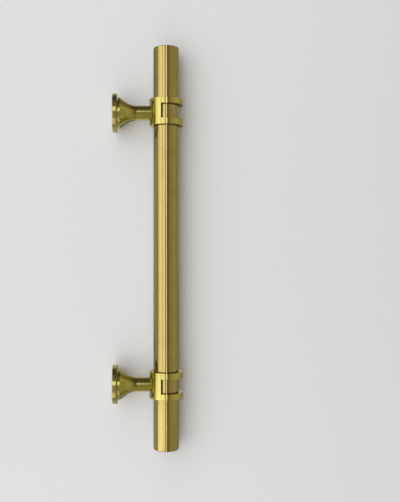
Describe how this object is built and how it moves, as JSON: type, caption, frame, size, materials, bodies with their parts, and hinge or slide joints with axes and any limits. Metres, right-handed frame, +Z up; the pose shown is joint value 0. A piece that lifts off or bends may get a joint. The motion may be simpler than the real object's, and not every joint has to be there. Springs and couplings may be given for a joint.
{
  "type": "door pull handle",
  "caption": "Straight round pull bar held off a door by windowed collars on turned, trumpet-shaped posts with round backplates.",
  "frame": {"origin": "on the door's face, midway between the two fixing holes", "axes": "+Z up along the bar, +Y into the door, so the handle stands out towards -Y"},
  "size_m": [0.029, 0.0525, 0.3],
  "materials": {
    "satin_brass": "fine satin, drawn along the bar",
    "polished_brass": "polished, turned",
    "stud_steel": "plain zinc-plated thread"
  },
  "bodies": {
    "root": {"bar": "satin_brass", "upper_collar": "polished_brass", "lower_collar": "polished_brass", "upper_post": "polished_brass", "lower_post": "polished_brass", "upper_backplate": "polished_brass", "lower_backplate": "polished_brass", "upper_stud": "stud_steel", "lower_stud": "stud_steel"}
  },
  "joints": []
}
